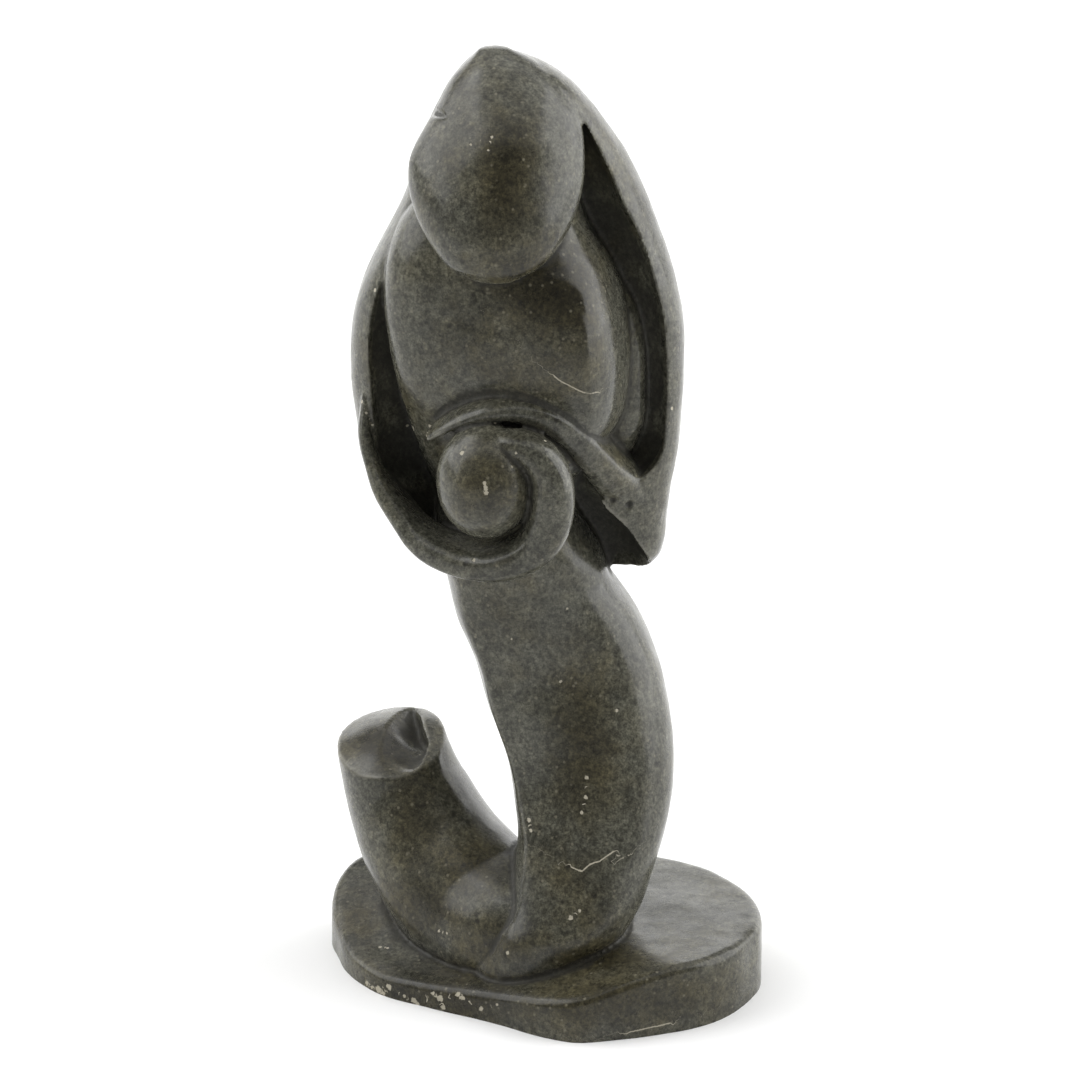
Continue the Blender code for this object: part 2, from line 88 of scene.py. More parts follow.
# How finely the forms are drawn, fused and thinned.
LIMB_RINGS = 64
LIMB_SIDES = 72
BALL_SEGMENTS = 64
BALL_RINGS = 48
PLINTH_SIDES = 120
DOME_ANGLES = (25, 50, 72)
RIM_ANGLES = (0, 30, 60, 90)
PLINTH_TOP_RINGS = (0.12, 0.24, 0.36, 0.48, 0.6, 0.72, 0.84)
FINE_VOXEL = 0.00062
SMOOTHING_ROUNDS = 5
KEPT_TRIANGLES = 188000

# How quickly a limb's ridge falls away to its sides, in degrees.
RIDGE_SPREAD = 18

# The fine carving, in metres: the groove round the foot, and two sizes of waves on the surface.
FOOT_GROOVE_DEPTH = 0.0006
FOOT_GROOVE_REACH = 0.0007
UNEVEN_DEPTH = 0.00045
UNEVEN_LENGTH = 0.016
RIPPLE_DEPTH = 0.00012
RIPPLE_LENGTH = 0.004

# The camera and its picture's side and middle, in degrees, metres and millimetres of sensor.
CAMERA_ELEVATION = 20.0
CAMERA_DISTANCE = 2.4
CAMERA_SENSOR = 36.0
PICTURE_SIDE = 0.3268
PICTURE_MIDDLE = (-0.0018, 0.0, 0.1394)

# How the relief is read from the mesh, and the angle from which an edge is drawn sharp, in degrees.
RELIEF_ROUNDS = 12
RELIEF_UNIT = 0.00012
SHARP_ANGLE = 50.0

# The relief between which a ridge gets its painted highlight, and a crease its painted shade and duller
# polish.
RIDGE_HIGHLIGHT_RELIEF = (3.0, 5.5)
CREASE_RELIEF = (-0.3, -1.6)

# The plinth's lower rim gets neither painted highlight nor painted shade: the height where the relief starts
# to count, and over which it comes in.
RELIEF_FROM_HEIGHT = 0.006
RELIEF_FADE_IN = 0.008

# The stone's colours, its gloss, and how high its grain stands.
STONE_GREY = (0.068, 0.067, 0.052, 1.0)
STONE_BROWN = (0.068, 0.059, 0.031, 1.0)
STONE_FLECK = (0.24, 0.22, 0.16, 1.0)
STONE_DARK = (0.014, 0.013, 0.010, 1.0)
# Painted highlight, laid pale along the ridges.
PAINTED_RIDGE_HIGHLIGHT = (0.25, 0.24, 0.20, 1.0)
# Painted shade, laid dark in creases and pits.
PAINTED_HOLLOW_SHADE = (0.020, 0.019, 0.016, 1.0)
STONE_BARE = (0.50, 0.46, 0.36, 1.0)
STONE_IOR = 1.38
GRAIN_RELIEF = 0.000036

# Sizes of the stone's cloudy, grainy and spotted patterns, in metres.
CLOUD_SIZE = 0.030
TONE_SIZE = 0.014
BLOTCH_SIZE = 0.0065
DARK_SPACING = 0.0034
MOTTLE_SIZE = 0.0026
FLECK_SPACING = 0.0021
GRAIN_SIZE = 0.0012
RAGGED_SIZE = 0.0007
DUST_SIZE = 0.0005

# What each pattern multiplies the colour by, from its low to its high places.
TONE_RANGE = (0.74, 1.24)
MOTTLE_RANGE = (0.70, 1.32)
# The patches darken the colour: the stone's own darker parts, and painted shadow under the head.
PATCH_RANGE = (1.08, 0.38)
SPECKLE_RANGE = (0.56, 1.42)
DUST_RANGE = (0.75, 1.28)

# How rough the polish is, from its best to its dullest places.
POLISH_RANGE = (0.15, 0.26)

# The floor and the even light round the scene.
FLOOR_RADIUS = 9.0
FLOOR_SHADE = (0.92, 0.92, 0.91, 1.0)
FLOOR_LIGHT = (0.95, 0.95, 0.95, 1.0)
FLOOR_ROUGHNESS = 0.9
FLOOR_TOOTH = 0.00003
FLOOR_TOOTH_SIZE = 0.0015
FLOOR_CLOUD_SIZE = 0.25
WORLD_BRIGHTNESS = 0.22


class Panel(NamedTuple):
    """A soft light panel, in metres, that faces the figure's middle. The camera doesn't see it."""

    name: str
    place: tuple
    width: float
    height: float
    brightness: float


PANELS = (
    Panel("overhead", (0.0, 0.3, 2.0), 3.0, 3.0, 0.90),
    Panel("backdrop", (0.0, 2.4, 0.6), 6.0, 1.4, 1.8),
    Panel("right_panel", (1.9, 0.3, 1.0), 2.2, 2.2, 3.4),
    Panel("left_panel", (-1.7, 0.2, 1.4), 2.2, 2.2, 2.9),
)


class Station(NamedTuple):
    """One cross-section of a limb, in shares of the figure's height, with angles in degrees.

    wide and deep are half sizes, square is the superellipse power, turn rolls the section about the spine,
    and ridge raises a crest of that share of the radius at ridge_at, counted from the viewer's left (or,
    on a limb that bends, from the inside of its bend) to the front.
    """

    x: float
    y: float
    z: float
    wide: float
    deep: float
    square: float = 2.2
    turn: float = 0.0
    ridge: float = 0.0
    ridge_at: float = 45.0


# The column, from inside the torso down to its foot in the plinth, as level sections.
COLUMN = (
    Station(-0.050, 0.010, 0.530, 0.050, 0.066, 2.2, 0, 0.00, 38),
    Station(-0.048, 0.012, 0.495, 0.066, 0.080, 2.2, 0, 0.00, 38),
    Station(-0.042, 0.014, 0.455, 0.077, 0.087, 2.3, 0, 0.00, 38),
    Station(-0.029, 0.016, 0.418, 0.086, 0.088, 2.4, 0, 0.02, 38),
    Station(-0.018, 0.020, 0.380, 0.089, 0.087, 2.5, 0, 0.05, 38),
    Station(-0.001, 0.022, 0.342, 0.097, 0.087, 2.5, 0, 0.08, 38),
    Station(0.021, 0.022, 0.292, 0.098, 0.089, 2.5, 0, 0.12, 38),
    Station(0.036, 0.014, 0.240, 0.097, 0.091, 2.5, 0, 0.15, 38),
    Station(0.049, 0.004, 0.191, 0.091, 0.091, 2.5, 0, 0.17, 38),
    Station(0.053, -0.011, 0.143, 0.086, 0.091, 2.4, 0, 0.17, 38),
    Station(0.051, -0.029, 0.103, 0.080, 0.091, 2.3, 0, 0.15, 38),
    Station(0.042, -0.043, 0.065, 0.076, 0.091, 2.3, 0, 0.11, 38),
    Station(0.033, -0.055, 0.034, 0.074, 0.091, 2.3, 0, 0.10, 40),
    Station(0.018, -0.062, 0.010, 0.076, 0.091, 2.3, 0, 0.06, 44),
    Station(0.006, -0.063, -0.007, 0.077, 0.089, 2.2, 0, 0.02, 48),
    Station(-0.006, -0.063, -0.031, 0.077, 0.086, 2.2, 0, 0.00, 50),
    Station(-0.012, -0.063, -0.052, 0.075, 0.084, 2.2, 0, 0.00, 50),
)

# The stub, from above its cut end down and round into the column's foot.
STUB = (
    Station(-0.186, 0.094, 0.222, 0.056, 0.070, 2.1, 0, 0.02, 42),
    Station(-0.173, 0.087, 0.162, 0.060, 0.072, 2.1, 0, 0.03, 42),
    Station(-0.153, 0.077, 0.095, 0.068, 0.077, 2.2, 0, 0.05, 42),
    Station(-0.119, 0.045, 0.036, 0.077, 0.083, 2.2, 0, 0.03, 42),
    Station(-0.071, -0.001, -0.006, 0.082, 0.084, 2.2, 0, 0.00, 42),
    Station(-0.021, -0.042, -0.016, 0.083, 0.084, 2.2, 0, 0.00, 42),
    Station(0.018, -0.052, -0.006, 0.073, 0.077, 2.2, 0, 0.00, 42),
)

# The end and the notch are cut into the first stations alone. The root starts between them and stays whole.
STUB_CUT_STATIONS = 5
STUB_ROOT_START = 2

# A diamond-shaped tool that cuts the notch across the stub's end, from its back to its front rim.
STUB_NOTCH = (
    Station(-0.156, 0.150, 0.192, 0.018, 0.010, 1.4, 0),
    Station(-0.160, 0.115, 0.190, 0.038, 0.018, 1.4, -2),
    Station(-0.165, 0.075, 0.186, 0.048, 0.023, 1.4, -4),
    Station(-0.170, 0.040, 0.179, 0.046, 0.025, 1.4, -4),
    Station(-0.177, 0.008, 0.169, 0.034, 0.022, 1.4, -2),
    Station(-0.184, -0.020, 0.158, 0.020, 0.016, 1.4, 0),
)

# The mantle is the almond of hood, arms and back, before the recess is carved into its front.
MANTLE = (
    Station(-0.055, 0.009, 0.977, 0.018, 0.016),
    Station(-0.049, 0.009, 0.969, 0.033, 0.033),
    Station(-0.040, 0.004, 0.950, 0.060, 0.058, 2.0),
    Station(-0.034, 0.006, 0.922, 0.081, 0.074, 2.0),
    Station(-0.030, 0.018, 0.886, 0.100, 0.082, 2.1),
    Station(-0.026, 0.028, 0.849, 0.117, 0.088, 2.2, 0, 0.03, 270),
    Station(-0.022, 0.035, 0.811, 0.129, 0.094, 2.3, 0, 0.04, 270),
    Station(-0.023, 0.036, 0.782, 0.141, 0.099, 2.3, 0, 0.05, 270),
    Station(-0.026, 0.036, 0.748, 0.156, 0.102, 2.4, 0, 0.05, 270),
    Station(-0.029, 0.036, 0.706, 0.171, 0.103, 2.4, 0, 0.05, 270),
    Station(-0.030, 0.036, 0.666, 0.179, 0.102, 2.4, 0, 0.05, 270),
    Station(-0.031, 0.036, 0.621, 0.181, 0.099, 2.4, 0, 0.05, 270),
    Station(-0.030, 0.032, 0.570, 0.178, 0.096, 2.4, 0, 0.05, 270),
    Station(-0.028, 0.029, 0.525, 0.172, 0.091, 2.4, 0, 0.04, 270),
    Station(-0.024, 0.025, 0.486, 0.161, 0.087, 2.5, 0, 0.03, 270),
    Station(-0.018, 0.022, 0.452, 0.150, 0.083, 2.6),
    Station(-0.010, 0.022, 0.430, 0.140, 0.080, 2.8),
    Station(-0.002, 0.025, 0.414, 0.129, 0.074, 3.0),
    Station(0.006, 0.031, 0.401, 0.115, 0.064, 3.0),
    Station(0.013, 0.036, 0.392, 0.099, 0.054, 3.0),
)

# The recess that frees the torso from the arms, cut into the mantle from the front.
RECESS = (
    Station(0.008, -0.053, 0.943, 0.012, 0.062, 2.2),
    Station(0.002, -0.053, 0.916, 0.036, 0.068, 2.6),
    Station(-0.007, -0.051, 0.884, 0.062, 0.072, 2.6),
    Station(-0.017, -0.050, 0.852, 0.087, 0.073, 2.6),
    Station(-0.021, -0.050, 0.818, 0.106, 0.073, 2.6),
    Station(-0.028, -0.050, 0.783, 0.132, 0.073, 2.6),
    Station(-0.031, -0.050, 0.758, 0.145, 0.073, 2.6),
    Station(-0.032, -0.050, 0.732, 0.153, 0.073, 2.6),
    Station(-0.032, -0.050, 0.698, 0.161, 0.073, 2.8),
    Station(-0.031, -0.050, 0.653, 0.165, 0.073, 3.0),
    Station(-0.028, -0.050, 0.602, 0.164, 0.073, 3.0),
    Station(-0.027, -0.050, 0.560, 0.160, 0.073, 3.0),
    Station(-0.027, -0.050, 0.534, 0.155, 0.073, 3.2),
    Station(-0.031, -0.050, 0.515, 0.143, 0.073, 3.2),
    Station(-0.046, -0.050, 0.495, 0.112, 0.073, 2.8),
    Station(-0.060, -0.050, 0.462, 0.080, 0.073, 2.6),
    Station(-0.064, -0.050, 0.440, 0.060, 0.073, 2.6),
)

# The hollow under the right forearm, between the scroll and the elbow.
UNDERCUT = (
    Station(0.004, -0.060, 0.552, 0.022, 0.066, 3.0),
    Station(0.011, -0.060, 0.530, 0.026, 0.070, 3.0),
    Station(0.020, -0.058, 0.506, 0.032, 0.074, 3.0),
    Station(0.028, -0.055, 0.481, 0.037, 0.076, 3.0),
    Station(0.036, -0.052, 0.458, 0.050, 0.080, 3.0),
    Station(0.042, -0.050, 0.432, 0.060, 0.082, 3.0),
    Station(0.046, -0.050, 0.412, 0.066, 0.083, 3.0),
    Station(0.048, -0.050, 0.384, 0.070, 0.083, 3.0),
    Station(0.048, -0.050, 0.356, 0.070, 0.083, 3.0),
)

TORSO = (
    Station(-0.052, 0.004, 0.825, 0.083, 0.072, 2.6, -6),
    Station(-0.056, 0.004, 0.786, 0.102, 0.083, 2.9, -10),
    Station(-0.051, 0.000, 0.750, 0.117, 0.090, 3.3, -13, 0.03, 134),
    Station(-0.044, -0.003, 0.709, 0.125, 0.094, 3.6, -15, 0.05, 134),
    Station(-0.038, -0.005, 0.665, 0.126, 0.096, 3.6, -16, 0.06, 134),
    Station(-0.033, -0.001, 0.619, 0.123, 0.092, 3.6, -16, 0.06, 134),
    Station(-0.031, 0.007, 0.574, 0.115, 0.083, 3.5, -16, 0.04, 134),
    Station(-0.038, 0.012, 0.534, 0.097, 0.074, 3.0, -12, 0.02, 134),
    Station(-0.045, 0.016, 0.497, 0.078, 0.067, 2.6, -8, 0.00, 134),
    Station(-0.044, 0.018, 0.460, 0.066, 0.064, 2.4, -4, 0.00, 134),
    Station(-0.036, 0.018, 0.420, 0.056, 0.060, 2.3, 0, 0.00, 134),
)

# A step in the recess beside the torso's right flank.
LEDGE = (
    Station(0.032, 0.026, 0.742, 0.040, 0.032, 3.0),
    Station(0.043, 0.020, 0.700, 0.053, 0.034, 3.4),
    Station(0.049, 0.016, 0.650, 0.057, 0.036, 3.8),
    Station(0.051, 0.014, 0.600, 0.057, 0.037, 4.0),
    Station(0.050, 0.014, 0.560, 0.056, 0.037, 4.0),
    Station(0.045, 0.018, 0.530, 0.050, 0.034, 3.4),
)

HEAD = (
    Station(-0.055, 0.009, 0.978, 0.018, 0.016, 2.0),
    Station(-0.049, 0.002, 0.970, 0.033, 0.033, 2.0),
    Station(-0.045, -0.010, 0.953, 0.055, 0.050, 1.9),
    Station(-0.043, -0.022, 0.934, 0.069, 0.064, 1.8),
    Station(-0.045, -0.035, 0.908, 0.083, 0.076, 1.7),
    Station(-0.052, -0.046, 0.876, 0.093, 0.082, 1.6),
    Station(-0.054, -0.057, 0.848, 0.093, 0.082, 1.6),
    Station(-0.054, -0.067, 0.825, 0.087, 0.077, 1.7),
    Station(-0.054, -0.078, 0.803, 0.077, 0.069, 1.8),
    Station(-0.054, -0.088, 0.787, 0.065, 0.057, 1.9),
    Station(-0.055, -0.097, 0.774, 0.051, 0.043, 2.0),
    Station(-0.055, -0.105, 0.764, 0.030, 0.028, 2.0),
)

# A groove behind the head's left side, which shows as a small nick where the hood ends.
HOOD_NICK = (
    Station(-0.106, -0.062, 0.926, 0.003, 0.003),
    Station(-0.119, -0.036, 0.923, 0.005, 0.005),
    Station(-0.129, -0.006, 0.919, 0.008, 0.008),
    Station(-0.136, 0.020, 0.912, 0.009, 0.009),
    Station(-0.141, 0.042, 0.904, 0.008, 0.008),
)

RIGHT_FOREARM = (
    Station(0.107, 0.010, 0.461, 0.024, 0.036, 2.0),
    Station(0.089, -0.005, 0.488, 0.025, 0.037, 2.2),
    Station(0.068, -0.025, 0.517, 0.023, 0.037, 2.8),
    Station(0.050, -0.043, 0.545, 0.020, 0.037, 3.4),
    Station(0.028, -0.063, 0.576, 0.017, 0.036, 3.6),
    Station(-0.003, -0.081, 0.601, 0.016, 0.034, 3.2),
    Station(-0.033, -0.086, 0.610, 0.014, 0.032, 2.6),
    Station(-0.065, -0.090, 0.609, 0.011, 0.030, 2.2),
    Station(-0.097, -0.082, 0.595, 0.008, 0.026, 2.0),
    Station(-0.122, -0.068, 0.575, 0.005, 0.020, 2.0),
)

LEFT_FOREARM = (
    Station(-0.196, 0.016, 0.596, 0.004, 0.030, 2.6),
    Station(-0.194, 0.004, 0.549, 0.009, 0.038, 3.0),
    Station(-0.181, -0.014, 0.513, 0.010, 0.040, 3.0),
    Station(-0.161, -0.040, 0.483, 0.013, 0.040, 3.0),
    Station(-0.135, -0.061, 0.457, 0.015, 0.039, 3.0),
    Station(-0.107, -0.083, 0.445, 0.017, 0.038, 3.0),
    Station(-0.071, -0.104, 0.442, 0.017, 0.037, 3.0),
    Station(-0.038, -0.119, 0.450, 0.020, 0.036, 2.8),
    Station(-0.012, -0.126, 0.467, 0.022, 0.034, 2.8),
    Station(0.003, -0.133, 0.495, 0.024, 0.033, 2.6),
    Station(0.007, -0.135, 0.523, 0.024, 0.032, 2.6),
    Station(0.004, -0.135, 0.550, 0.022, 0.030, 2.4),
    Station(-0.008, -0.133, 0.570, 0.020, 0.028, 2.4),
    Station(-0.027, -0.129, 0.580, 0.017, 0.026, 2.2),
    Station(-0.048, -0.122, 0.583, 0.013, 0.022, 2.2),
)

# The ball, in shares of the figure's height.
BALL_CENTRE = (-0.064, -0.115, 0.536)
BALL_HALF_SIZES = (0.054, 0.056, 0.063)

# The plinth's outline seen from above, clockwise from the left, in shares of its half width and half depth.
PLINTH_OUTLINE = (
    (-1.000, 0.410),
    (-0.975, 0.670),
    (-0.885, 0.840),
    (-0.690, 0.940),
    (-0.330, 0.995),
    (0.060, 0.990),
    (0.330, 0.930),
    (0.540, 0.830),
    (0.710, 0.700),
    (0.906, 0.394),
    (0.985, 0.120),
    (1.000, -0.090),
    (0.985, -0.250),
    (0.941, -0.394),
    (0.845, -0.610),
    (0.705, -0.775),
    (0.520, -0.885),
    (0.335, -0.957),
    (0.130, -1.000),
    (-0.005, -0.930),
    (-0.210, -0.750),
    (-0.535, -0.510),
    (-0.765, -0.320),
    (-0.850, -0.180),
    (-0.935, 0.035),
    (-0.970, 0.230),
)


class Mark(NamedTuple):
    """A chip or pit, in millimetres, by where it shows right of and above the picture's middle."""

    right: float
    up: float
    radius: float
    depth: float = 0.2


# Pale chips, from the head down to the plinth's front wall.
CHIPS = (
    Mark(-14.6, 121.9, 0.45),
    Mark(-20.9, 119.6, 0.40),
    Mark(-15.7, 118.0, 0.35),
    Mark(-49.9, 75.6, 0.60),
    Mark(-53.9, 41.8, 0.60),
    Mark(-52.6, 38.4, 0.45),
    Mark(-50.8, 34.8, 0.50),
    Mark(-38.4, 33.9, 0.80),
    Mark(-40.2, 34.6, 0.50),
    Mark(-33.3, 34.5, 0.60),
    Mark(-34.2, 31.5, 0.45),
    Mark(-13.6, 35.4, 0.55),
    Mark(1.5, 30.0, 0.50),
    Mark(39.9, 39.9, 0.55),
    Mark(-23.6, 26.3, 0.75),
    Mark(-7.3, 26.3, 0.45),
    Mark(-8.5, 22.1, 0.40),
    Mark(-16.8, 17.2, 0.60),
    Mark(-16.6, 15.8, 0.80),
    Mark(-16.3, 14.2, 0.75),
    Mark(-20.0, -6.1, 0.60),
    Mark(-8.6, -30.0, 0.40),
    Mark(8.2, -20.8, 0.40),
    Mark(6.3, -42.9, 0.50),
    Mark(23.3, -51.6, 0.50),
    Mark(14.1, -71.9, 0.60),
    Mark(13.8, -77.9, 0.65),
    Mark(12.6, -82.5, 0.60),
    Mark(-3.3, -84.7, 0.70),
    Mark(-2.8, -88.0, 0.55),
    Mark(9.3, -114.3, 0.75),
    Mark(12.0, -112.1, 0.55),
    Mark(-9.8, -124.9, 0.60),
    Mark(-30.6, -118.3, 0.55),
    Mark(-28.2, -119.0, 0.45),
    Mark(-48.4, -123.2, 0.50),
    Mark(-46.1, -123.5, 0.45),
    Mark(-52.3, -134.0, 0.90),
    Mark(-50.9, -135.3, 0.70),
    Mark(-48.8, -136.0, 1.20),
    Mark(-47.3, -137.2, 0.80),
    Mark(-45.7, -135.2, 1.00),
    Mark(-41.0, -138.1, 0.60),
    Mark(-38.2, -139.2, 1.00),
    Mark(-36.9, -140.3, 0.60),
    Mark(-32.4, -137.2, 0.70),
    Mark(-30.2, -138.7, 1.10),
    Mark(-29.3, -141.4, 0.80),
    Mark(-24.8, -137.4, 1.00),
    Mark(-23.2, -138.6, 0.60),
    Mark(-17.8, -141.8, 0.80),
    Mark(-13.0, -140.5, 0.50),
)

# Deeper pits with painted shade in their bottoms, side by side on the right forearm.
PITS = (
    Mark(22.1, 12.1, 0.80, 0.9),
    Mark(27.0, 10.8, 0.95, 1.1),
    Mark(24.3, 13.6, 0.45, 0.5),
)

# Scratches as (right, up) places in millimetres, as in Mark: on the torso, the column and the plinth.
SCRATCHES = (
    ((3.9, 49.9), (6.0, 48.2), (9.1, 46.6), (12.7, 44.8), (15.1, 44.3), (17.2, 44.8)),
    ((9.8, -99.1), (12.6, -100.4), (15.3, -97.9), (18.1, -97.2), (20.2, -95.6), (22.3, -94.3)),
    ((24.4, -96.6), (25.5, -96.0), (26.2, -95.5)),
    ((26.6, -148.9), (29.7, -148.4), (32.8, -147.6), (36.0, -147.0), (39.1, -146.2)),
)
SCRATCH_HALF_WIDTH = 0.00022
FAR_FROM_SCRATCHES = 1e3


class Patch(NamedTuple):
    """A browner and darker place on the stone, placed as a Mark is, and how strong it is. Most are the
    stone's own colour; one is painted shadow.
    """

    right: float
    up: float
    half_width: float
    half_height: float
    strength: float


# How soft the patches' edges are, and how they fade round the sides of the figure.
PATCH_SOFTNESS = 1.4
PATCH_FADE = (1.5, 0.2)

# From the head down to the plinth, overlapping. The second is painted shadow on the torso under the head.
BROWN_AND_SHADOW_PATCHES = (
    Patch(-10.0, 105.0, 8.0, 20.0, 0.9),
    # Painted shadow that the head casts on the torso.
    Patch(4.0, 74.0, 17.0, 14.0, 1.0),
    Patch(-14.0, 66.0, 18.0, 16.0, 0.45),
    Patch(-48.0, -62.0, 12.0, 8.0, 1.0),
    Patch(-36.0, -113.0, 16.0, 10.0, 0.7),
    Patch(-54.0, -116.0, 9.0, 10.0, 0.5),
    Patch(-38.0, -84.0, 9.0, 20.0, 0.6),
    Patch(-20.0, -101.0, 12.0, 8.0, 0.8),
    Patch(20.0, -127.0, 24.0, 5.0, 0.7),
    Patch(18.0, -138.0, 42.0, 9.0, 0.7),
    Patch(-24.0, 112.0, 10.0, 22.0, 0.35),
    Patch(6.0, 56.0, 20.0, 14.0, 0.5),
    Patch(-17.0, 17.0, 10.0, 12.0, 0.5),
    Patch(12.0, -62.0, 9.0, 26.0, 0.75),
    Patch(8.0, -100.0, 14.0, 20.0, 0.35),
    Patch(-13.0, -122.0, 14.0, 8.0, 0.7),
    Patch(-25.0, -138.0, 34.0, 9.0, 0.9),
    Patch(-12.0, -20.0, 10.0, 10.0, 0.35),
)


def move_to(obj, collection):
    """Takes the object out of the collections that hold it and puts it into this one."""
    for owner in list(obj.users_collection):
        owner.objects.unlink(obj)
    collection.objects.link(obj)


def in_metres(points):
    """Shares of the figure's height to metres above the plinth's underside."""
    return np.asarray(points) * FIGURE_HEIGHT + np.array([0.0, 0.0, PLINTH_THICKNESS])


def curve_through(rows, at, wanted):
    """Cubic curve through the rows, given their places along it, read at the wanted places."""
    slopes = np.gradient(rows, at, axis=0)
    left = np.clip(np.searchsorted(at, wanted, side="right") - 1, 0, len(at) - 2)
    span = (at[left + 1] - at[left])[:, None]
    t = (wanted[:, None] - at[left][:, None]) / span
    return (
        (2 * t**3 - 3 * t**2 + 1) * rows[left]
        + (t**3 - 2 * t**2 + t) * span * slopes[left]
        + (3 * t**2 - 2 * t**3) * rows[left + 1]
        + (t**3 - t**2) * span * slopes[left + 1]
    )


def places_along(rows):
    """How far along the spine each row is, from the first."""
    steps = np.linalg.norm(np.diff(rows[:, :3], axis=0), axis=1)
    return np.concatenate([[0.0], np.cumsum(steps)])


def smooth_rows(stations, count):
    """The stations refined to count rows, evenly spaced along their spine."""
    rows = np.array(stations, float)
    at = places_along(rows)
    return curve_through(rows, at, np.linspace(0, at[-1], count))


def smooth_outline(points, count):
    """A closed curve through the points, as count points evenly spaced along it."""
    rows = np.array([(x, y, 0.0) for x, y in points])
    rows = np.vstack([rows[-2:], rows, rows[:3]])
    at = places_along(rows)
    wanted = np.linspace(at[2], at[-3], count, endpoint=False)
    return curve_through(rows, at, wanted)[:, :2]


def section(row, side, front):
    """Points of one cross-section round its spine point."""
    _, _, _, wide, deep, square, turn, ridge, ridge_at = row
    angles = np.linspace(0, 2 * math.pi, LIMB_SIDES, endpoint=False)
    across, ahead = np.cos(angles), np.sin(angles)
    away = np.abs((angles - math.radians(ridge_at) + math.pi) % (2 * math.pi) - math.pi)
    reach = 1 + ridge * np.exp(-away / math.radians(RIDGE_SPREAD))
    across = reach * wide * np.sign(across) * np.abs(across) ** (2 / square)
    ahead = reach * deep * np.sign(ahead) * np.abs(ahead) ** (2 / square)
    rolled_side = math.cos(math.radians(turn)) * side + math.sin(math.radians(turn)) * front
    rolled_front = math.cos(math.radians(turn)) * front - math.sin(math.radians(turn)) * side
    return row[:3] + np.outer(across, rolled_side) + np.outer(ahead, rolled_front)


def skin(name, rings, first_pole, last_pole, collection):
    """Closed mesh over a stack of rings, with a pole point at each end."""
    mesh = bmesh.new()
    loops = [[mesh.verts.new(point) for point in ring] for ring in rings]
    for lower, upper in zip(loops, loops[1:]):
        for i in range(len(lower)):
            j = (i + 1) % len(lower)
            mesh.faces.new((lower[i], lower[j], upper[j], upper[i]))
    for loop, pole in ((loops[0], first_pole), (loops[-1], last_pole)):
        tip = mesh.verts.new(pole)
        for i in range(len(loop)):
            mesh.faces.new((loop[i], loop[(i + 1) % len(loop)], tip))
    bmesh.ops.recalc_face_normals(mesh, faces=mesh.faces)
    data = bpy.data.meshes.new(name)
    mesh.to_mesh(data)
    mesh.free()
    obj = bpy.data.objects.new(name, data)
    collection.objects.link(obj)
    return obj


def domed_end(edge, centre, outward):
    """Rings that close the section edge with a dome reaching outward, and the dome's pole."""
    rings = [
        centre + (edge - centre) * math.cos(angle) + outward * math.sin(angle)
        for angle in np.radians(DOME_ANGLES)
    ]
    return rings, centre + outward


def loft(name, stations, collection, upright=False, dome=(0.4, 0.4)):
    """Limb through its stations, first to last.

    dome is how far each end bulges, in shares of its half width. An upright limb keeps its sections level,
    and its stations run from the top down.
    """
    rows = smooth_rows(stations, LIMB_RINGS)
    tangents = np.gradient(rows[:, :3], axis=0)
    if upright:
        tangents = np.tile([0.0, 0.0, -1.0], (len(rows), 1))
    tangents /= np.linalg.norm(tangents, axis=1)[:, None]
    viewer = np.array([0.0, -1.0, 0.0])
    loops = []
    for row, along in zip(rows, tangents):
        front = viewer - viewer.dot(along) * along
        front /= np.linalg.norm(front)
        side = np.cross(front, along)
        if upright:
            side = -side
        loops.append(section(row, side, front))
    start_rings, start_pole = domed_end(loops[0], rows[0, :3], -tangents[0] * dome[0] * rows[0, 3])
    end_rings, end_pole = domed_end(loops[-1], rows[-1, :3], tangents[-1] * dome[1] * rows[-1, 3])
    loops = [in_metres(loop) for loop in start_rings[::-1] + loops + end_rings]
    return skin(name, loops, in_metres(start_pole), in_metres(end_pole), collection)


def ellipsoid(name, centre, half_sizes, collection):
    """Ellipsoid, given in metres."""
    bpy.ops.mesh.primitive_uv_sphere_add(segments=BALL_SEGMENTS, ring_count=BALL_RINGS, radius=1.0)
    obj = bpy.context.object
    obj.name = name
    obj.data.transform(Matrix.Diagonal((*half_sizes, 1.0)))
    obj.location = centre
    move_to(obj, collection)
    return obj


def stub_end_ball(collection):
    """Large ball whose surface is the domed end of the stub, tilted to the viewer and to the left."""
    slopes = np.tan(np.radians((STUB_END_TILT_TO_LEFT, STUB_END_TILT_TO_VIEWER)))
    outward = np.array([-slopes[0], -slopes[1], 1.0])
    outward /= np.linalg.norm(outward)
    radius = STUB_END_RADIUS * FIGURE_HEIGHT
    centre = in_metres(STUB_END_CENTRE) - radius * outward
    return ellipsoid("stub_end_ball", centre, (radius, radius, radius), collection)


def plinth_top(x, y):
    """Height of the plinth's top, which dips towards a low point on its straight front-left side."""
    angle = math.radians(PLINTH_STRAIGHT_SIDE_ANGLE)
    from_low_x, from_low_y = x - PLINTH_LOW_POINT[0], y - PLINTH_LOW_POINT[1]
    along = from_low_x * math.cos(angle) + from_low_y * math.sin(angle)
    across = from_low_y * math.cos(angle) - from_low_x * math.sin(angle)
    t = np.clip(np.hypot(along / PLINTH_SLOPE_ALONG, across / PLINTH_SLOPE_ACROSS), 0, 1)
    rise = PLINTH_THICKNESS - PLINTH_LOW_THICKNESS
    return PLINTH_LOW_THICKNESS + rise * t * t * (3 - 2 * t)


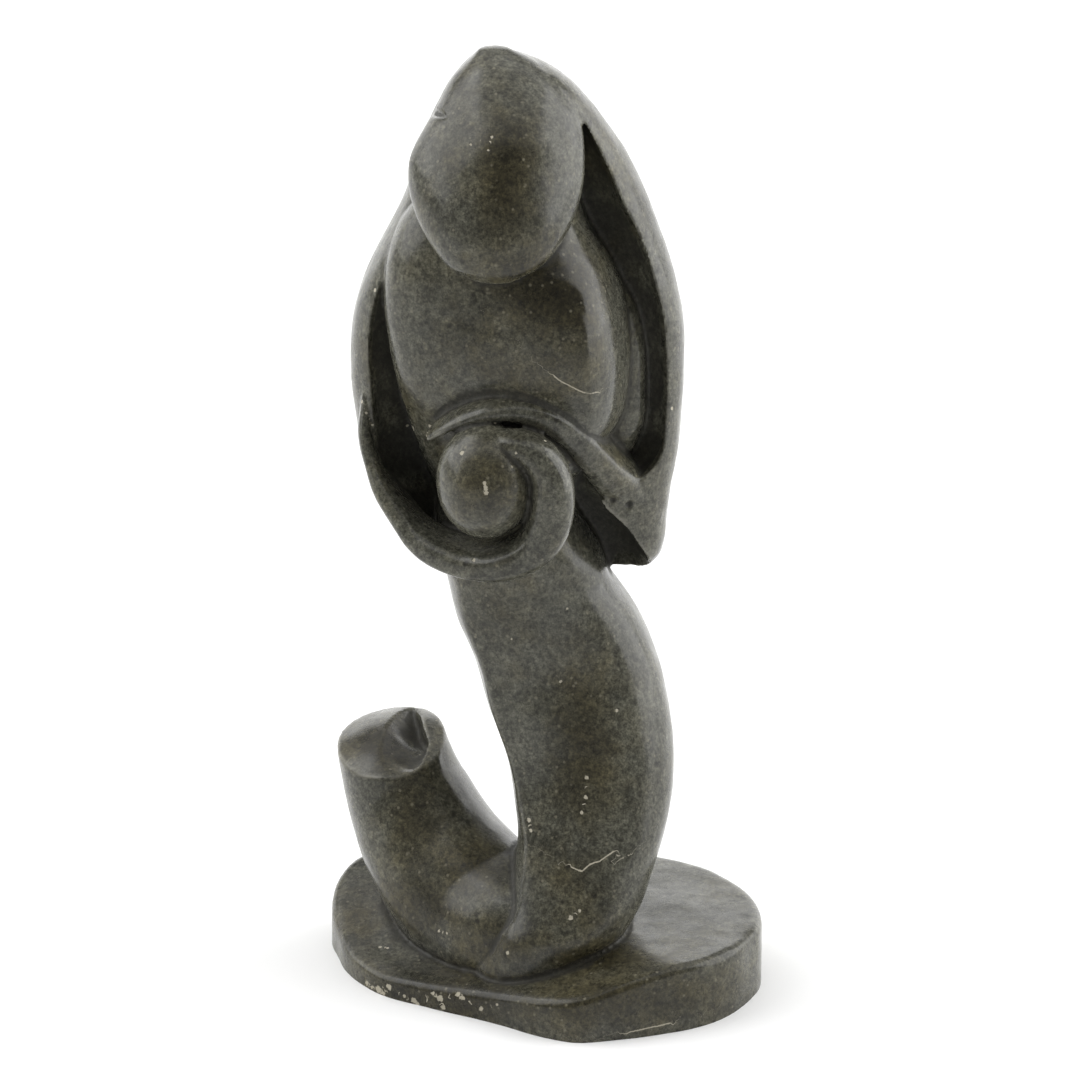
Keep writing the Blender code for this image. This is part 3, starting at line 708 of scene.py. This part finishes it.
def plinth(collection):
    """Slab with a sloping top and a rounded rim, deeper than the finished one, for the floor cut to trim."""
    middle = np.array([0.0, PLINTH_MIDDLE_Y])
    outline = smooth_outline(PLINTH_OUTLINE, PLINTH_SIDES) * (PLINTH_WIDTH / 2, PLINTH_DEPTH / 2)
    reach = np.linalg.norm(outline, axis=1)[:, None]
    shares_and_drops = [(share, 0.0) for share in PLINTH_TOP_RINGS]
    for angle in np.radians(RIM_ANGLES):
        inset = PLINTH_EDGE_RADIUS * (1 - math.sin(angle))
        shares_and_drops.append((1 - inset / reach, PLINTH_EDGE_RADIUS * (1 - math.cos(angle))))
    loops = []
    for share, drop in shares_and_drops:
        ring = middle + outline * share
        loops.append(np.column_stack([ring, plinth_top(*ring.T) - drop]))
    loops.append(np.column_stack([middle + outline, np.full(len(outline), -ROOM_BELOW)]))
    top = (*middle, float(plinth_top(*middle)))
    return skin("plinth_form", loops, top, (*middle, -ROOM_BELOW), collection)


def evaluated_mesh(obj):
    """New mesh with the object's modifiers and place applied."""
    graph = bpy.context.evaluated_depsgraph_get()
    data = bpy.data.meshes.new_from_object(obj.evaluated_get(graph))
    data.transform(obj.matrix_world)
    return data


def carve(obj, cutter, operation="DIFFERENCE"):
    """Takes the cutter's form out of the object, or keeps only what both share."""
    modifier = obj.modifiers.new("carve_" + cutter.name, "BOOLEAN")
    modifier.operation = operation
    modifier.object = cutter


def figure_forms(collection):
    """The overlapping solid forms of the figure and of its foot, already carved."""
    mantle = loft("mantle_form", MANTLE, collection, upright=True, dome=(0.2, 0.1))
    head = loft("head_form", HEAD, collection, upright=True, dome=(0.2, 0.2))
    stub = loft("stub_form", STUB[:STUB_CUT_STATIONS], collection, dome=(0.1, 0.3))
    recess = loft("recess_cutter", RECESS, collection, upright=True)
    undercut = loft("undercut_cutter", UNDERCUT, collection, upright=True)
    nick = loft("hood_nick_cutter", HOOD_NICK, collection)
    notch = loft("stub_notch_cutter", STUB_NOTCH, collection)
    carve(mantle, recess)
    carve(mantle, undercut)
    carve(mantle, nick)
    carve(head, nick)
    carve(stub, stub_end_ball(collection), "INTERSECT")
    carve(stub, notch)
    column = loft("column_form", COLUMN, collection, upright=True, dome=(0.3, 0.1))
    stub_root = loft("stub_root_form", STUB[STUB_ROOT_START:], collection, dome=(0.1, 0.3))
    ball_sizes = [FIGURE_HEIGHT * size for size in BALL_HALF_SIZES]
    upper = [
        mantle,
        head,
        loft("torso_form", TORSO, collection, upright=True),
        loft("ledge_form", LEDGE, collection, upright=True),
        loft("right_forearm_form", RIGHT_FOREARM, collection),
        loft("left_forearm_form", LEFT_FOREARM, collection),
        ellipsoid("ball_form", in_metres(BALL_CENTRE), ball_sizes, collection),
    ]
    return upper, [column, stub, stub_root]


def heap(name, forms, collection):
    """One object that holds all the overlapping forms, ready to be fused."""
    mesh = bmesh.new()
    for form in forms:
        data = evaluated_mesh(form)
        mesh.from_mesh(data)
        bpy.data.meshes.remove(data)
    data = bpy.data.meshes.new(name)
    mesh.to_mesh(data)
    mesh.free()
    obj = bpy.data.objects.new(name, data)
    collection.objects.link(obj)
    return obj


def uneven(obj, name, depth, length):
    """Slight waves of the hand-worked surface, with this depth and typical length."""
    clouds = bpy.data.textures.new(name, "CLOUDS")
    clouds.noise_scale = length
    clouds.noise_depth = 1
    waves = obj.modifiers.new(name, "DISPLACE")
    waves.texture = clouds
    waves.strength = depth
    waves.mid_level = 0.5


def apply_modifiers(obj):
    """Puts the result of the object's modifiers in place of its mesh."""
    data = evaluated_mesh(obj)
    obj.modifiers.clear()
    obj.data = data


def points_and_normals(data):
    points = np.empty(len(data.vertices) * 3, np.float32)
    normals = np.empty(len(data.vertices) * 3, np.float32)
    data.vertices.foreach_get("co", points)
    data.vertices.foreach_get("normal", normals)
    return points.reshape(-1, 3).astype(float), normals.reshape(-1, 3).astype(float)


def tree_of(data):
    return BVHTree.FromPolygons(
        [vertex.co.copy() for vertex in data.vertices],
        [tuple(face.vertices) for face in data.polygons],
    )


def groove_depth(points, foot):
    """How deep the groove round the foot is at each point, in metres."""
    above = np.abs(points[:, 2] - plinth_top(points[:, 0], points[:, 1]))
    near = np.flatnonzero(above < 4 * FOOT_GROOVE_REACH)
    depth = np.zeros(len(points))
    for i in near:
        beside = foot.find_nearest(Vector(points[i]))[3]
        share = (above[i] ** 2 + beside**2) / (2 * FOOT_GROOVE_REACH**2)
        depth[i] = FOOT_GROOVE_DEPTH * math.exp(-share)
    return depth


def picture_axes():
    """Directions up the front picture and back towards its camera."""
    angle = math.radians(CAMERA_ELEVATION)
    up = Vector((0.0, math.sin(angle), math.cos(angle)))
    back = Vector((0.0, -math.cos(angle), math.sin(angle)))
    return up, back


def shown_at(tree, right, up):
    """Point and normal of the surface that shows at this place in the front picture, in millimetres."""
    picture_up, back = picture_axes()
    middle = Vector(PICTURE_MIDDLE)
    eye = middle + CAMERA_DISTANCE * back
    place = middle + Vector((right, 0.0, 0.0)) / 1000 + picture_up * (up / 1000)
    point, normal, _, _ = tree.ray_cast(eye, (place - eye).normalized())
    return point, normal


def chipped(points, normals, tree):
    """Points with the chips and pits pressed in."""
    moved = points.copy()
    for mark in CHIPS + PITS:
        centre, inward = shown_at(tree, mark.right, mark.up)
        away = np.linalg.norm(points - np.array(centre), axis=1)
        reach = mark.radius / 1000
        press = mark.depth / 1000 * np.exp(-((away / reach) ** 2))
        moved -= press[:, None] * np.array(inward)
    return moved


def cut_level(data):
    """Cuts the mesh flat at the plane that the plinth stands on and closes it."""
    mesh = bmesh.new()
    mesh.from_mesh(data)
    everything = mesh.verts[:] + mesh.edges[:] + mesh.faces[:]
    bmesh.ops.bisect_plane(mesh, geom=everything, plane_co=(0, 0, 0), plane_no=(0, 0, -1), clear_outer=True)
    rim = [edge for edge in mesh.edges if edge.is_boundary]
    bmesh.ops.edgeloop_fill(mesh, edges=rim)
    bmesh.ops.triangulate(mesh, faces=[face for face in mesh.faces if len(face.verts) > 4])
    bmesh.ops.recalc_face_normals(mesh, faces=mesh.faces)
    mesh.to_mesh(data)
    mesh.free()


def fine_stone(collection):
    """The whole carving as one fine mesh."""
    upper, lower = figure_forms(collection)
    bpy.context.view_layer.update()
    foot = heap("foot", lower, collection)
    foot_tree = tree_of(foot.data)
    obj = heap("stone_figure", upper + lower + [plinth(collection)], collection)
    remesh = obj.modifiers.new("one_stone", "REMESH")
    remesh.mode = "VOXEL"
    remesh.voxel_size = FINE_VOXEL
    polish = obj.modifiers.new("polish", "SMOOTH")
    polish.factor = 0.5
    polish.iterations = SMOOTHING_ROUNDS
    uneven(obj, "hand_worked", UNEVEN_DEPTH, UNEVEN_LENGTH)
    uneven(obj, "ripples", RIPPLE_DEPTH, RIPPLE_LENGTH)
    apply_modifiers(obj)
    points, normals = points_and_normals(obj.data)
    points -= groove_depth(points, foot_tree)[:, None] * normals
    points = chipped(points, normals, tree_of(obj.data))
    obj.data.vertices.foreach_set("co", points.astype(np.float32).ravel())
    obj.data.update()
    thin = obj.modifiers.new("fewer_faces", "DECIMATE")
    thin.ratio = KEPT_TRIANGLES / (2 * len(obj.data.polygons))
    apply_modifiers(obj)
    cut_level(obj.data)
    return obj


def relaxed(data, values, rounds):
    """The values averaged over their neighbours on the mesh, this many times."""
    ends = np.empty(2 * len(data.edges), np.int32)
    data.edges.foreach_get("vertices", ends)
    first, second = ends.reshape(-1, 2).T
    count = np.bincount(ends, minlength=len(values)).clip(1)
    for _ in range(rounds):
        total = np.zeros_like(values)
        for column in range(values.shape[1]):
            total[:, column] += np.bincount(first, values[second, column], len(values))
            total[:, column] += np.bincount(second, values[first, column], len(values))
        values = total / count[:, None]
    return values


def store(data, name, values):
    """Keeps one number or one vector for each vertex, for the stone to read."""
    kind = "FLOAT" if values.ndim == 1 else "FLOAT_VECTOR"
    attribute = data.attributes.new(name, kind, "POINT")
    field = "value" if values.ndim == 1 else "vector"
    attribute.data.foreach_set(field, values.astype(np.float32).ravel())


def store_relief(data):
    """How far each place stands out from its surroundings: ridges above 0, creases below."""
    points, normals = points_and_normals(data)
    around = relaxed(data, points, RELIEF_ROUNDS)
    out = np.einsum("ij,ij->i", points - around, normals)
    out *= np.clip((points[:, 2] - RELIEF_FROM_HEIGHT) / RELIEF_FADE_IN, 0.0, 1.0)
    store(data, "relief", relaxed(data, out[:, None], 2)[:, 0] / RELIEF_UNIT)


def store_chips(data, tree):
    """Where each place lies from its nearest chip, in chip radii, for the stone to draw the chip's edge."""
    points, _ = points_and_normals(data)
    nearest = np.full(len(points), np.inf)
    offsets = np.zeros((len(points), 3))
    for mark in CHIPS:
        centre, _ = shown_at(tree, mark.right, mark.up)
        offset = (points - np.array(centre)) / (mark.radius / 1000)
        away = np.linalg.norm(offset, axis=1)
        closer = away < nearest
        nearest[closer] = away[closer]
        offsets[closer] = offset[closer]
    store(data, "chip", offsets)


def store_pits(data, tree):
    """How deep in a pit each place lies, from 0 to 1."""
    points, _ = points_and_normals(data)
    depth = np.zeros(len(points))
    for mark in PITS:
        centre, _ = shown_at(tree, mark.right, mark.up)
        away = np.linalg.norm(points - np.array(centre), axis=1)
        depth = np.maximum(depth, np.exp(-((away * 1000 / mark.radius) ** 2)))
    store(data, "pit", depth)


def store_scratches(data, tree):
    """How far each place lies from its nearest scratch, in half widths, with a minus sign on one side."""
    points, normals = points_and_normals(data)
    nearest = np.full(len(points), np.inf)
    across = np.full(len(points), np.inf)
    for scratch in SCRATCHES:
        line = [np.array(shown_at(tree, right, up)[0]) for right, up in scratch]
        for start, end in zip(line, line[1:]):
            along = end - start
            share = np.clip((points - start) @ along / (along @ along), 0, 1)
            offset = points - start - share[:, None] * along
            away = np.linalg.norm(offset, axis=1)
            side = np.sign(np.einsum("ij,ij->i", np.cross(along, normals), offset))
            closer = away < nearest
            nearest[closer] = away[closer]
            across[closer] = (side * away)[closer]
    across /= SCRATCH_HALF_WIDTH
    store(data, "scratch", np.clip(across, -FAR_FROM_SCRATCHES, FAR_FROM_SCRATCHES))


def store_brown_and_shade(data):
    """How much browner and darker the stone is, from soft patches placed as they show from the front; the
    one on the torso under the head is painted shadow.
    """
    points, normals = points_and_normals(data)
    picture_up, back = picture_axes()
    from_middle = points - np.array(PICTURE_MIDDLE)
    right = 1000 * from_middle[:, 0]
    up = 1000 * (from_middle @ np.array(picture_up))
    steepness, offset = PATCH_FADE
    front = np.clip(steepness * normals @ np.array(back) + offset, 0, 1)
    brown_and_shade = np.zeros(len(points))
    for patch in BROWN_AND_SHADOW_PATCHES:
        share = ((right - patch.right) / patch.half_width) ** 2 + ((up - patch.up) / patch.half_height) ** 2
        brown_and_shade = np.maximum(brown_and_shade, patch.strength * np.exp(-share / PATCH_SOFTNESS))
    store(data, "brown_and_shade", brown_and_shade * front)


class Nodes:
    """Short forms for building a material's nodes."""

    def __init__(self, tree):
        self.tree = tree

    def add(self, kind, **settings):
        node = self.tree.nodes.new(kind)
        for name, value in settings.items():
            setattr(node, name, value)
        return node

    def plug(self, value, socket):
        if isinstance(value, bpy.types.NodeSocket):
            self.tree.links.new(value, socket)
        else:
            socket.default_value = value

    def noise(self, place, size, detail=3.0, roughness=0.55):
        """Cloudy noise from 0 to 1 whose features are about size metres wide."""
        node = self.add("ShaderNodeTexNoise")
        self.plug(place, node.inputs["Vector"])
        node.inputs["Scale"].default_value = 1 / size
        node.inputs["Detail"].default_value = detail
        node.inputs["Roughness"].default_value = roughness
        return node.outputs["Fac"]

    def cells(self, place, size):
        """Random cells about size metres wide: how far their middles are, and a random colour for each."""
        node = self.add("ShaderNodeTexVoronoi")
        self.plug(place, node.inputs["Vector"])
        node.inputs["Scale"].default_value = 1 / size
        return node.outputs["Distance"], node.outputs["Color"]

    def ramp(self, value, low, high, to_low=0.0, to_high=1.0):
        """A soft step of the value between low and high, which goes from one result to the other."""
        node = self.add("ShaderNodeMapRange", interpolation_type="SMOOTHSTEP")
        self.plug(value, node.inputs["Value"])
        node.inputs["From Min"].default_value = low
        node.inputs["From Max"].default_value = high
        node.inputs["To Min"].default_value = to_low
        node.inputs["To Max"].default_value = to_high
        return node.outputs["Result"]

    def math(self, operation, first, second=0.0):
        node = self.add("ShaderNodeMath", operation=operation)
        self.plug(first, node.inputs[0])
        self.plug(second, node.inputs[1])
        return node.outputs["Value"]

    def plus(self, first, second, share):
        """The first number and this share of the second."""
        return self.math("ADD", first, self.math("MULTIPLY", second, share))

    def mix(self, share, first, second, blend="MIX"):
        node = self.add("ShaderNodeMix", data_type="RGBA", blend_type=blend)
        self.plug(share, node.inputs[0])
        self.plug(first, node.inputs[6])
        self.plug(second, node.inputs[7])
        return node.outputs[2]

    def tint(self, colour, factor):
        return self.mix(1.0, colour, factor, "MULTIPLY")

    def cover(self, colour, where, strength, cover):
        """The colour with another laid over it where the first number is high, at most this strongly."""
        return self.mix(self.math("MULTIPLY", where, strength), colour, cover)

    def spots(self, place, spacing, radii, picked):
        """Small round spots in the cells whose random number is high."""
        from_middle, pick = self.cells(place, spacing)
        return self.math("MULTIPLY", self.ramp(from_middle, *radii), self.ramp(pick, *picked))

    def stored(self, name, output="Fac"):
        return self.add("ShaderNodeAttribute", attribute_name=name).outputs[output]

    def length(self, vector):
        node = self.add("ShaderNodeVectorMath", operation="LENGTH")
        self.plug(vector, node.inputs[0])
        return node.outputs["Value"]


def brown_and_shade_parts(nodes, place, blotches):
    """Where the stone turns browner: in clouds of its own and in the patches that show from the front, one
    of which is painted shadow under the head.
    """
    share = nodes.math("MULTIPLY", nodes.noise(place, CLOUD_SIZE, 3.0), 0.55)
    share = nodes.plus(share, blotches, 0.35)
    share = nodes.plus(share, nodes.stored("brown_and_shade"), 0.34)
    return nodes.ramp(share, 0.42, 0.78)


def bare_parts(nodes, place, blotches):
    """Chips and broken-up scratches, with ragged edges."""
    ragged = nodes.math("SUBTRACT", nodes.noise(place, RAGGED_SIZE, 2.0), 0.5)
    ragged = nodes.math("MULTIPLY", ragged, 1.6)
    from_chip = nodes.math("ADD", nodes.length(nodes.stored("chip", "Vector")), ragged)
    from_scratch = nodes.math("ABSOLUTE", nodes.plus(nodes.stored("scratch"), ragged, 1.2))
    chip = nodes.ramp(from_chip, 1.05, 0.75)
    scratch = nodes.math("MULTIPLY", nodes.ramp(from_scratch, 1.1, 0.7), nodes.ramp(blotches, 0.36, 0.46))
    return nodes.math("MAXIMUM", chip, scratch)


def stone_material():
    """Dark serpentine: grey-green with browner parts, fine grain and flecks, with painted highlights on
    ridges, painted shade in creases and pits, and painted shadow under the head.
    """
    material = bpy.data.materials.new("dark_serpentine_polished")
    material.use_nodes = True
    nodes = Nodes(material.node_tree)
    shader = material.node_tree.nodes["Principled BSDF"]
    place = nodes.add("ShaderNodeTexCoord").outputs["Object"]

    tone = nodes.noise(place, TONE_SIZE, 4.0, 0.65)
    blotches = nodes.noise(place, BLOTCH_SIZE, 4.0, 0.6)
    mottle = nodes.noise(place, MOTTLE_SIZE, 4.0, 0.7)
    grain = nodes.noise(place, GRAIN_SIZE, 3.0, 0.7)
    dust = nodes.noise(place, DUST_SIZE, 2.0, 0.6)
    light_spots = nodes.spots(place, FLECK_SPACING, (0.30, 0.12), (0.60, 0.80))
    dark_spots = nodes.spots(place, DARK_SPACING, (0.38, 0.15), (0.62, 0.82))
    brown_and_shade = brown_and_shade_parts(nodes, place, blotches)
    bare = bare_parts(nodes, place, blotches)
    relief = nodes.stored("relief")
    # Creases get painted shade in the colour and a duller polish.
    crease = nodes.ramp(relief, *CREASE_RELIEF)
    # Painted highlight along the ridges, broken up by the blotches.
    ridge_highlight = nodes.math("MULTIPLY", nodes.ramp(relief, *RIDGE_HIGHLIGHT_RELIEF), nodes.ramp(blotches, 0.30, 0.55))

    colour = nodes.mix(brown_and_shade, STONE_GREY, STONE_BROWN)
    colour = nodes.tint(colour, nodes.ramp(tone, 0.3, 0.7, *TONE_RANGE))
    colour = nodes.tint(colour, nodes.ramp(mottle, 0.32, 0.68, *MOTTLE_RANGE))
    # Darker in the patches, which under the head is painted shadow.
    colour = nodes.tint(colour, nodes.ramp(nodes.stored("brown_and_shade"), 0.0, 1.0, *PATCH_RANGE))
    colour = nodes.tint(colour, nodes.ramp(grain, 0.3, 0.7, *SPECKLE_RANGE))
    colour = nodes.tint(colour, nodes.ramp(dust, 0.3, 0.7, *DUST_RANGE))
    colour = nodes.cover(colour, light_spots, 0.45, STONE_FLECK)
    colour = nodes.cover(colour, dark_spots, 0.65, STONE_DARK)
    # Painted highlight on the ridges.
    colour = nodes.cover(colour, ridge_highlight, 0.60, PAINTED_RIDGE_HIGHLIGHT)
    # Painted shade in the creases.
    colour = nodes.cover(colour, crease, 0.65, PAINTED_HOLLOW_SHADE)
    colour = nodes.cover(colour, bare, 0.80, STONE_BARE)
    # Painted shade in the pits.
    colour = nodes.cover(colour, nodes.stored("pit"), 0.85, PAINTED_HOLLOW_SHADE)
    nodes.plug(colour, shader.inputs["Base Color"])

    rough = nodes.ramp(blotches, 0.3, 0.7, *POLISH_RANGE)
    rough = nodes.plus(rough, brown_and_shade, 0.07)
    rough = nodes.plus(rough, grain, 0.06)
    rough = nodes.plus(rough, nodes.math("MAXIMUM", bare, crease), 0.35)
    nodes.plug(rough, shader.inputs["Roughness"])
    shader.inputs["IOR"].default_value = STONE_IOR

    height = nodes.math("MULTIPLY", grain, 0.7)
    height = nodes.plus(height, dust, 0.3)
    height = nodes.plus(height, bare, -0.8)
    bump = nodes.add("ShaderNodeBump")
    bump.inputs["Distance"].default_value = GRAIN_RELIEF
    nodes.plug(height, bump.inputs["Height"])
    nodes.plug(bump.outputs["Normal"], shader.inputs["Normal"])
    return material


def stone_piece():
    """The dressed stone, in place of its solid."""
    forms = bpy.data.collections.new("carving_forms")
    bpy.context.scene.collection.children.link(forms)
    obj = fine_stone(forms)
    for form in list(forms.objects):
        if form != obj:
            bpy.data.objects.remove(form)
    obj.data.shade_smooth()
    obj.data.set_sharp_from_angle(angle=math.radians(SHARP_ANGLE))
    tree = tree_of(obj.data)
    store_relief(obj.data)
    store_chips(obj.data, tree)
    store_pits(obj.data, tree)
    store_scratches(obj.data, tree)
    store_brown_and_shade(obj.data)
    obj.data.materials.clear()
    obj.data.materials.append(stone_material())
    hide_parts("sculpture")
    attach(obj, "root")


def floor_material():
    """Matt white board with a very faint tooth."""
    material = bpy.data.materials.new("white_board")
    material.use_nodes = True
    nodes = Nodes(material.node_tree)
    shader = material.node_tree.nodes["Principled BSDF"]
    place = nodes.add("ShaderNodeTexCoord").outputs["Object"]
    shade = nodes.ramp(nodes.noise(place, FLOOR_CLOUD_SIZE, 2.0), 0.3, 0.7)
    nodes.plug(nodes.mix(shade, FLOOR_SHADE, FLOOR_LIGHT), shader.inputs["Base Color"])
    shader.inputs["Roughness"].default_value = FLOOR_ROUGHNESS
    tooth = nodes.add("ShaderNodeBump")
    tooth.inputs["Distance"].default_value = FLOOR_TOOTH
    nodes.plug(nodes.noise(place, FLOOR_TOOTH_SIZE, 2.0), tooth.inputs["Height"])
    nodes.plug(tooth.outputs["Normal"], shader.inputs["Normal"])
    return material


def pale_floor():
    bpy.ops.mesh.primitive_circle_add(vertices=96, radius=FLOOR_RADIUS, fill_type="NGON")
    floor = bpy.context.object
    floor.name = "floor"
    floor.data.materials.append(floor_material())


def soft_light(panel):
    data = bpy.data.lights.new(panel.name, "AREA")
    data.shape = "RECTANGLE"
    data.size = panel.width
    data.size_y = panel.height
    data.energy = panel.brightness * math.pi * panel.width * panel.height
    light = bpy.data.objects.new(panel.name, data)
    bpy.context.scene.collection.objects.link(light)
    light.location = panel.place
    towards_panel = Vector(panel.place) - Vector(PICTURE_MIDDLE)
    light.rotation_euler = towards_panel.to_track_quat("Z", "Y").to_euler()
    light.visible_camera = False


def studio():
    """Even white surroundings and the panels."""
    world = bpy.data.worlds.new("studio")
    world.use_nodes = True
    background = world.node_tree.nodes["Background"]
    background.inputs["Color"].default_value = (1.0, 1.0, 1.0, 1.0)
    background.inputs["Strength"].default_value = WORLD_BRIGHTNESS
    bpy.context.scene.world = world
    for panel in PANELS:
        soft_light(panel)


def front_camera():
    """The camera at the photograph's angle and frame."""
    _, back = picture_axes()
    data = bpy.data.cameras.new("front_camera")
    data.sensor_width = CAMERA_SENSOR
    data.lens = CAMERA_SENSOR * CAMERA_DISTANCE / PICTURE_SIDE
    data.dof.use_dof = False
    data.clip_start = 0.05
    data.clip_end = 50.0
    camera = bpy.data.objects.new("front_camera", data)
    bpy.context.scene.collection.objects.link(camera)
    camera.location = Vector(PICTURE_MIDDLE) + CAMERA_DISTANCE * back
    camera.rotation_euler = back.to_track_quat("Z", "Y").to_euler()
    bpy.context.scene.camera = camera


front_camera()
studio()
pale_floor()
stone_piece()
bpy.context.scene.view_settings.view_transform = "Standard"
